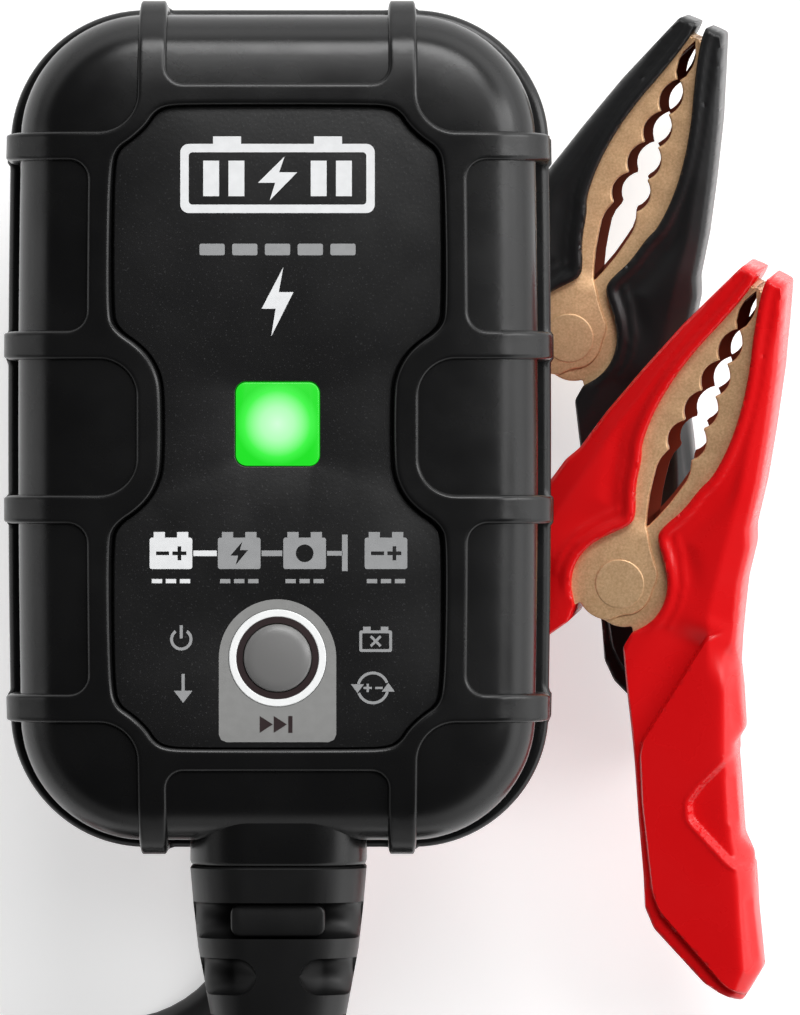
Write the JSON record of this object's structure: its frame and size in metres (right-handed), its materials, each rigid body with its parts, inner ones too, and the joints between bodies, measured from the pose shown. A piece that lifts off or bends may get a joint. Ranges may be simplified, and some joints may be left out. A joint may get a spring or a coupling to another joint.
{
  "type": "car battery charger",
  "caption": "Compact plug-in car battery charger with a sealed case, lit status window, round mode button, coiled output cable and two sprung battery clamps.",
  "frame": {"origin": "centre of the back face that meets the wall outlet, between the two blades", "axes": "+Z out of the outlet, towards the charger's front; +Y to the charger's top; +X to the right of someone facing the front"},
  "size_m": [0.113, 0.2128, 0.0576],
  "materials": {
    "shell_plastic": "satin",
    "overlay_film": "satin",
    "green_lens": "gloss",
    "white_lens": "gloss",
    "button_plastic": "satin",
    "boot_rubber": "matte",
    "cable_rubber": "satin",
    "red_lead_pvc": "satin",
    "blade_brass": "polished",
    "steel": "satin",
    "spring_steel": "satin",
    "copper": "cast, satin",
    "red_plastic": "satin",
    "black_plastic": "satin",
    "board": "satin",
    "capacitor": "satin",
    "winding": "satin",
    "fuse": "gloss",
    "aluminium": "satin",
    "led": "gloss",
    "switch": "satin"
  },
  "bodies": {
    "charger": {"front_housing": "shell_plastic", "rear_housing": "shell_plastic", "outlet_boss": "shell_plastic", "seam_gasket": "boot_rubber", "overlay_panel": "overlay_film", "status_lens": "green_lens", "button_light_ring": "white_lens", "strain_relief": "boot_rubber", "plug_blade_left": "blade_brass", "plug_blade_right": "blade_brass", "circuit_board": "board", "transformer": "winding", "filter_choke": "winding", "input_capacitor": "capacitor", "output_capacitor": "capacitor", "fuse": "fuse", "heat_sink": "aluminium", "status_led": "led", "tact_switch": "switch", "dc_cable": "cable_rubber", "dc_cable_coil": "cable_rubber", "dc_cable_tail": "cable_rubber", "cable_splitter": "cable_rubber", "black_lead": "cable_rubber", "red_lead": "red_lead_pvc", "housing_screw_1": "steel", "housing_screw_2": "steel", "housing_screw_3": "steel", "housing_screw_4": "steel", "black_cover_left": "black_plastic", "black_jaw_left": "copper", "black_pivot_rivet": "steel", "black_spring": "spring_steel", "red_cover_left": "red_plastic", "red_jaw_left": "copper", "red_pivot_rivet": "steel", "red_spring": "spring_steel"},
    "mode_button": {"mode_button": "button_plastic"},
    "black_clamp_half": {"black_cover_right": "black_plastic", "black_jaw_right": "copper"},
    "red_clamp_half": {"red_cover_right": "red_plastic", "red_jaw_right": "copper"}
  },
  "joints": [
    {"name": "mode_button_press", "type": "slide", "parent": "charger", "child": "mode_button", "axis": [0, 0, -1], "range_m": [0, 0.0006], "stiffness_N_per_m": 1500, "springref_m": -0.0006},
    {"name": "black_clamp_hinge", "type": "hinge", "parent": "charger", "child": "black_clamp_half", "pos_m": [0.0324, -0.0134, -0.0056], "axis": [0.1109, 0.0832, -0.9903], "range_deg": [0, 28], "stiffness_Nm_per_rad": 0.5, "springref_deg": -34.38},
    {"name": "red_clamp_hinge", "type": "hinge", "parent": "charger", "child": "red_clamp_half", "pos_m": [0.038, -0.0405, 0.0048], "axis": [0.1644, 0.1233, -0.9787], "range_deg": [0, 28], "stiffness_Nm_per_rad": 0.5, "springref_deg": -34.38}
  ]
}
